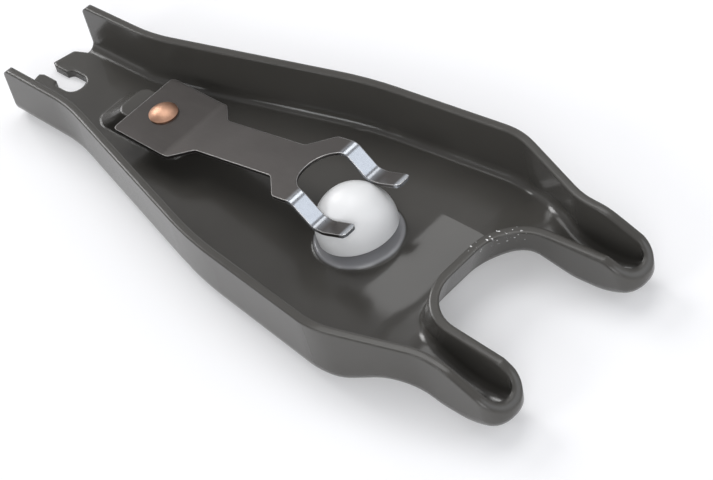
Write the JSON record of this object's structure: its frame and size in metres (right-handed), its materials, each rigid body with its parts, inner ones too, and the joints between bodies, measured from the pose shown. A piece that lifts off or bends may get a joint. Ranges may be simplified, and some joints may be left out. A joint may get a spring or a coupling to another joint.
{
  "type": "clutch release fork",
  "caption": "Pressed steel clutch release fork with a U-shaped pronged end, a nylon pivot cap and a riveted leaf retaining spring.",
  "frame": {"origin": "on the pivot's axis, at the level of the web's underside", "axes": "+X from the cable end towards the prongs, +Y across the fork, +Z out of the open side of the channel"},
  "size_m": [0.1779, 0.0704, 0.0188],
  "materials": {
    "black_paint": "semi-gloss",
    "spring_steel": "blued, with polished bends",
    "nylon": "satin",
    "copper": "copper plated, satin"
  },
  "bodies": {
    "root": {"fork_body": "black_paint", "retaining_spring": "spring_steel", "pivot_cap": "nylon", "spring_rivet": "copper"}
  },
  "joints": []
}
